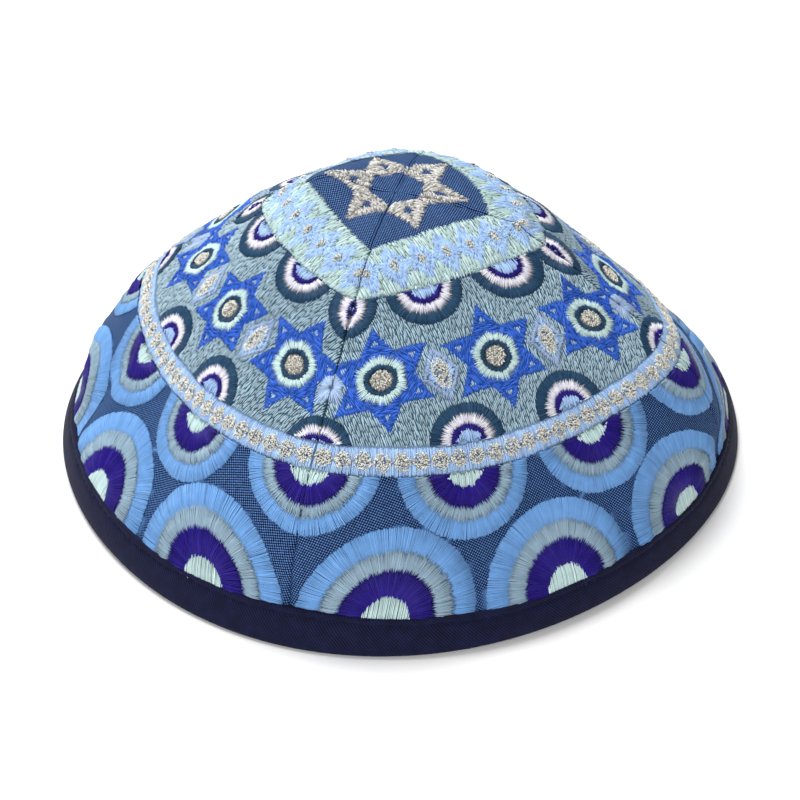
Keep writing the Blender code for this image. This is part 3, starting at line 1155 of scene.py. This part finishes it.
class Nodes:
    """Short names for making and joining shader nodes."""

    def __init__(self, name):
        self.material = bpy.data.materials.new(name)
        self.material.use_nodes = True
        self.tree = self.material.node_tree
        self.tree.nodes.clear()
        self.output = self.tree.nodes.new("ShaderNodeOutputMaterial")
        self.shader = self.tree.nodes.new("ShaderNodeBsdfPrincipled")
        self.link(self.shader.outputs["BSDF"], self.output.inputs["Surface"])

    def link(self, a, b):
        self.tree.links.new(a, b)

    def node(self, kind, **values):
        node = self.tree.nodes.new(kind)
        for key, value in values.items():
            if key.startswith("in_"):
                self.feed(node.inputs[key[3:].replace("_", " ")], value)
            else:
                setattr(node, key, value)
        return node

    def feed(self, socket, value):
        if hasattr(value, "is_output"):
            self.link(value, socket)
        else:
            socket.default_value = value

    def math(self, operation, a, b=0.0, clamp=False):
        node = self.tree.nodes.new("ShaderNodeMath")
        node.operation = operation
        node.use_clamp = clamp
        self.feed(node.inputs[0], a)
        self.feed(node.inputs[1], b)
        return node.outputs[0]

    def mix(self, factor, a, b, blend="MIX"):
        node = self.tree.nodes.new("ShaderNodeMix")
        node.data_type = "RGBA"
        node.blend_type = blend
        self.feed(node.inputs[0], factor)
        self.feed(node.inputs[6], a)
        self.feed(node.inputs[7], b)
        return node.outputs[2]

    def attribute(self, name):
        node = self.tree.nodes.new("ShaderNodeAttribute")
        node.attribute_name = name
        return node

    def set(self, **values):
        for key, value in values.items():
            self.feed(self.shader.inputs[key.replace("_", " ")], value)

    def uv(self):
        node = self.tree.nodes.new("ShaderNodeUVMap")
        node.uv_map = "lay"
        split = self.tree.nodes.new("ShaderNodeSeparateXYZ")
        self.link(node.outputs[0], split.inputs[0])
        return split.outputs[0], split.outputs[1], node.outputs[0]

    def object_noise(self, scale, detail=2.0, stretch=None):
        where = self.tree.nodes.new("ShaderNodeTexCoord").outputs["Object"]
        noise = self.node("ShaderNodeTexNoise", in_Scale=scale, in_Detail=detail)
        self.link(where, noise.inputs["Vector"])
        return noise.outputs[0]


def four(rgb):
    return (*[float(c) for c in rgb], 1.0)


def thread_material(name, rgb, roughness=0.42, spread=0.13, gloss=0.38):
    """Glossy twisted embroidery thread: each strand a little lighter or darker, with its twist as bump."""
    m = Nodes("thread_" + name)
    base = linear(rgb)
    light = four(np.clip(base * 1.45 + 0.02, 0, 1))
    dark = four(base * 0.58)
    tone = m.attribute("tone").outputs["Fac"]
    shift = m.math("MULTIPLY_ADD", tone, spread)
    m.tree.nodes[-1].inputs[2].default_value = 0.5
    noise = m.object_noise(420.0, 2.0)
    mixed = m.math("ADD", shift, m.math("MULTIPLY_ADD", noise, 0.5))
    m.tree.nodes[-2].inputs[2].default_value = -0.25
    ramp = m.node("ShaderNodeValToRGB")
    ramp.color_ramp.elements[0].position = 0.0
    ramp.color_ramp.elements[0].color = dark
    ramp.color_ramp.elements[1].position = 1.0
    ramp.color_ramp.elements[1].color = light
    middle = ramp.color_ramp.elements.new(0.5)
    middle.color = four(base)
    m.link(mixed, ramp.inputs[0])
    m.set(Base_Color=ramp.outputs[0])
    u, v, _ = m.uv()
    twist = m.math("SINE", m.math("ADD", m.math("MULTIPLY", v, 14.0), m.math("MULTIPLY", u, 5.0)))
    fine = m.math("SINE", m.math("MULTIPLY", u, 31.0))
    rough = m.object_noise(900.0, 1.0)
    height = m.math("ADD", m.math("MULTIPLY", twist, 0.6), m.math("MULTIPLY", fine, 0.3))
    height = m.math("ADD", height, m.math("MULTIPLY", rough, 0.7))
    bump = m.node("ShaderNodeBump", in_Strength=0.55, in_Distance=0.00004, in_Height=height)
    m.set(Normal=bump.outputs[0])
    m.set(Roughness=roughness)
    m.shader.inputs["Specular IOR Level"].default_value = gloss
    m.shader.inputs["Sheen Weight"].default_value = 0.04
    m.shader.inputs["Sheen Roughness"].default_value = 0.4
    return m.material


def silver_material(name, low, middle_share, high):
    m = Nodes("thread_" + name)
    base = linear(THREADS[name])
    tone = m.attribute("tone").outputs["Fac"]
    where = m.node("ShaderNodeTexCoord").outputs["Object"]
    # Painted glints and shade: small cells of the thread are painted lighter, up to high times its colour, or
    # darker, down to about half of it, standing in for the glints and shade on the metal; the same cells also vary
    # its roughness.
    glint_cells = m.node("ShaderNodeTexVoronoi", in_Scale=2600.0)
    m.link(where, glint_cells.inputs["Vector"])
    glint_fleck = m.node("ShaderNodeSeparateColor")
    m.link(glint_cells.outputs["Color"], glint_fleck.inputs[0])
    value = m.math("ADD", m.math("MULTIPLY", tone, 0.13), glint_fleck.outputs[0])
    ramp = m.node("ShaderNodeValToRGB")
    ramp.color_ramp.elements[0].position = 0.0
    ramp.color_ramp.elements[0].color = four(base * np.array([0.50, 0.49, 0.48]) * low)
    ramp.color_ramp.elements[1].position = 1.0
    ramp.color_ramp.elements[1].color = four(np.clip(base * high, 0, 1))
    middle = ramp.color_ramp.elements.new(0.5)
    middle.color = four(np.clip(base * np.array([0.97, 0.96, 0.945]) * middle_share, 0, 1))
    m.link(value, ramp.inputs[0])
    m.set(Base_Color=ramp.outputs[0])
    m.set(Roughness=m.math("MULTIPLY_ADD", glint_fleck.outputs[1], 0.3))
    m.tree.nodes[-1].inputs[2].default_value = 0.22
    m.shader.inputs["Metallic"].default_value = 0.1
    u, v, _ = m.uv()
    wrap = m.math("SINE", m.math("ADD", m.math("MULTIPLY", v, 20.0), m.math("MULTIPLY", u, 7.0)))
    bump = m.node("ShaderNodeBump", in_Strength=0.8, in_Distance=0.00006, in_Height=wrap)
    m.set(Normal=bump.outputs[0])
    m.shader.inputs["Specular IOR Level"].default_value = 0.7
    return m.material


def cloth_material():
    """Plain-woven navy cloth: two sets of yarns in the chart's directions, slubs, and where covered the painted
    ground colour, a darker copy of the thread as painted shade between the stitches.
    """
    m = Nodes("navy_cloth")
    u, v, flat = m.uv()
    pitch = 0.78
    wx = m.math("SINE", m.math("MULTIPLY", u, 2 * math.pi / pitch))
    wy = m.math("SINE", m.math("MULTIPLY", v, 2 * math.pi / pitch))
    checker = m.math("MULTIPLY", wx, wy)
    warp = m.math("ABSOLUTE", m.math("SINE", m.math("MULTIPLY", u, math.pi / pitch * 2)))
    weft = m.math("ABSOLUTE", m.math("SINE", m.math("MULTIPLY", v, math.pi / pitch * 2)))
    slubs = []
    for sx, sy in ((2.2, 0.12), (0.12, 2.2)):
        scaled = m.node("ShaderNodeMapping")
        scaled.inputs["Scale"].default_value = (sx, sy, 1)
        m.link(flat, scaled.inputs["Vector"])
        noise = m.node("ShaderNodeTexNoise", in_Scale=1.0, in_Detail=1.0)
        m.link(scaled.outputs[0], noise.inputs["Vector"])
        slubs.append(noise.outputs[0])
    slub = m.math("ADD", m.math("MULTIPLY", slubs[0], 0.5), m.math("MULTIPLY", slubs[1], 0.5))
    dots = m.node("ShaderNodeTexNoise", in_Scale=2.6, in_Detail=3.0)
    m.link(flat, dots.inputs["Vector"])
    crossing = m.math("MULTIPLY_ADD", checker, 2.4)
    m.tree.nodes[-1].inputs[2].default_value = 0.0
    m.tree.nodes[-1].use_clamp = True
    amount = m.math("MULTIPLY", crossing, m.math("MULTIPLY_ADD", dots.outputs[0], 1.3))
    m.tree.nodes[-2].inputs[2].default_value = 0.05
    amount = m.math("ADD", amount, m.math("MULTIPLY", slub, 0.5))
    amount = m.math("SUBTRACT", amount, 0.31, True)
    navy, pale = linear(NAVY), linear((108, 158, 230))
    woven = m.mix(amount, four(navy * 0.13), four(pale))
    # Where threads cover the cloth, its colour is the painted ground from cloth_colour: the thread's colour darkened
    # as painted shade, darker still in the seam grooves.
    under = m.attribute("ground").outputs["Color"]
    covered = m.attribute("covered").outputs["Fac"]
    m.set(Base_Color=m.mix(covered, woven, under))
    height = m.math("ADD", m.math("MULTIPLY", checker, 0.5), m.math("MULTIPLY", slub, 0.8))
    height = m.math("ADD", height, m.math("MULTIPLY", m.math("ADD", warp, weft), 0.25))
    bump = m.node("ShaderNodeBump", in_Strength=0.6, in_Distance=0.00012, in_Height=height)
    m.set(Normal=bump.outputs[0])
    m.set(Roughness=m.math("MULTIPLY_ADD", dots.outputs[0], 0.25))
    m.tree.nodes[-1].inputs[2].default_value = 0.58
    m.shader.inputs["Specular IOR Level"].default_value = 0.08
    m.shader.inputs["Sheen Weight"].default_value = 0.0
    m.shader.inputs["Sheen Roughness"].default_value = 0.5
    return m.material


def tape_material():
    """Matt navy twill: fine diagonal ribs, lint and cloudy unevenness."""
    m = Nodes("rim_twill")
    u, v, flat = m.uv()
    rib = m.math("SINE", m.math("MULTIPLY", m.math("ADD", u, v), 2 * math.pi / 0.8))
    yarn = m.math("SINE", m.math("MULTIPLY", m.math("SUBTRACT", u, v), 2 * math.pi / 0.42))
    cloudy = m.node("ShaderNodeTexNoise", in_Scale=0.35, in_Detail=3.0)
    m.link(flat, cloudy.inputs["Vector"])
    lint = m.node("ShaderNodeTexNoise", in_Scale=3.4, in_Detail=2.0)
    m.link(flat, lint.inputs["Vector"])
    value = m.math("ADD", m.math("MULTIPLY", rib, 0.30), m.math("MULTIPLY", cloudy.outputs[0], 0.7))
    value = m.math("ADD", value, m.math("MULTIPLY", lint.outputs[0], 0.35))
    value = m.math("SUBTRACT", value, 0.28, True)
    dark, light = linear((5, 6, 28)), linear((32, 38, 82))
    m.set(Base_Color=m.mix(value, four(dark), four(light)))
    height = m.math("ADD", m.math("MULTIPLY", rib, 0.6), m.math("MULTIPLY", yarn, 0.25))
    height = m.math("ADD", height, m.math("MULTIPLY", lint.outputs[0], 0.8))
    bump = m.node("ShaderNodeBump", in_Strength=0.5, in_Distance=0.00010, in_Height=height)
    m.set(Normal=bump.outputs[0])
    m.set(Roughness=m.math("MULTIPLY_ADD", lint.outputs[0], 0.2))
    m.tree.nodes[-1].inputs[2].default_value = 0.66
    m.shader.inputs["Specular IOR Level"].default_value = 0.12
    m.shader.inputs["Sheen Weight"].default_value = 0.02
    m.shader.inputs["Sheen Roughness"].default_value = 0.55
    return m.material


# ---------------------------------------------------------------- object

GLOSS = {"violet": 0.14, "teal": 0.18, "royal": 0.27, "sky": 0.30}
SPREAD = {"sky": 0.08, "mist": 0.10}
materials = {
    name: thread_material(name, rgb, spread=SPREAD.get(name, 0.13), gloss=GLOSS.get(name, 0.36))
    for name, rgb in THREADS.items()
}
materials["silver"] = silver_material("silver", 1.0, 1.0, 1.5)
materials["pearl"] = silver_material("pearl", 1.25, 1.12, 1.7)
navy_cloth = cloth_material()
twill = tape_material()
tape_thread = thread_material("tape", (16, 17, 48), 0.7, gloss=0.12)

# Across the flat panel's widest row, its hem, in metres.
GORE_WIDTH = 2e-3 * float(np.abs(chart(np.array(HEM), np.array(QUARTER))[0]))
cloths = [build_cloth(panel, navy_cloth) for panel in range(4)]
for obj, (name, _) in zip(cloths, PANELS):
    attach(obj, "root")
    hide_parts("panel_" + name)
    gore_area()
for obj in build_threads(materials):
    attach(obj, "root")
tape = build_tape(twill)
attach(tape, "root")
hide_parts("rim_binding")
tape_stitches = build_tape_stitches(tape_thread)
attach(tape_stitches, "root")

# ---------------------------------------------------------------- floor, light, camera

VIEW_TURN = math.radians(15.068)  # the camera's azimuth from the front seam
ELEVATION = 0.6311455
DISTANCE = 5.54975 * RIM_RADIUS
TARGET = (0.027078 * RIM_RADIUS, 0.0, 0.093098 * RIM_RADIUS)
ROLL = 0.0273990
FOCAL_PIXELS = 1842.34


def from_view(v):
    """A point given in the camera's frame, in the part's, in millimetres."""
    c, s = math.cos(VIEW_TURN), math.sin(VIEW_TURN)
    return Vector((v[0] * c - v[1] * s - CENTRE[0], v[0] * s + v[1] * c - CENTRE[1], v[2]))


def make_floor():
    mesh = bpy.data.meshes.new("floor")
    h = 6.0
    mesh.from_pydata([(-h, -h, 0), (h, -h, 0), (h, h, 0), (-h, h, 0)], [], [(0, 1, 2, 3)])
    obj = bpy.data.objects.new("floor", mesh)
    bpy.context.scene.collection.objects.link(obj)
    m = Nodes("floor_white")
    noise = m.object_noise(40.0, 2.0)
    m.set(Base_Color=m.mix(m.math("MULTIPLY", noise, 0.02), (0.93, 0.93, 0.93, 1), (0.90, 0.90, 0.90, 1)))
    m.set(Roughness=0.9)
    m.shader.inputs["Specular IOR Level"].default_value = 0.1
    mesh.materials.append(m.material)
    return obj


def area_light(name, where, size, power, colour=(1, 1, 1)):
    data = bpy.data.lights.new(name, "AREA")
    data.shape = "DISK"
    data.size = size
    data.energy = power
    data.color = colour
    obj = bpy.data.objects.new(name, data)
    obj.location = from_view([c * 1000 for c in where]) * 0.001
    direction = Vector((0, 0, 0.03)) - obj.location
    obj.rotation_euler = direction.to_track_quat("-Z", "Y").to_euler()
    bpy.context.scene.collection.objects.link(obj)
    return obj


floor = make_floor()
lights = [
    area_light("back", (-0.26, 0.62, 1.16), 0.80, 21.2),
    area_light("front", (-0.35, -1.2, 0.50), 0.6, 10.0),
]
world = bpy.data.worlds.new("studio")
bpy.context.scene.world = world
world.use_nodes = True
world.node_tree.nodes["Background"].inputs[0].default_value = (1.0, 1.0, 1.0, 1)
world.node_tree.nodes["Background"].inputs[1].default_value = 0.32

camera_data = bpy.data.cameras.new("camera")
camera_data.sensor_width = 36.0
camera_data.lens = 36.0 * FOCAL_PIXELS / 800
camera_data.clip_start = 0.01
camera = bpy.data.objects.new("camera", camera_data)
bpy.context.scene.collection.objects.link(camera)
eye = from_view((0, -DISTANCE * math.cos(ELEVATION), DISTANCE * math.sin(ELEVATION)))
forward = (from_view(TARGET) - eye).normalized()
right = forward.cross(Vector((0, 0, 1))).normalized()
upward = right.cross(forward)
turned_right = right * math.cos(ROLL) + upward * math.sin(ROLL)
turned_up = -right * math.sin(ROLL) + upward * math.cos(ROLL)
basis = Matrix((turned_right, turned_up, -forward)).transposed().to_4x4()
basis.translation = eye * 0.001
camera.matrix_world = basis
bpy.context.scene.camera = camera

bpy.context.scene.view_settings.view_transform = "Standard"
bpy.context.scene.view_settings.look = "None"
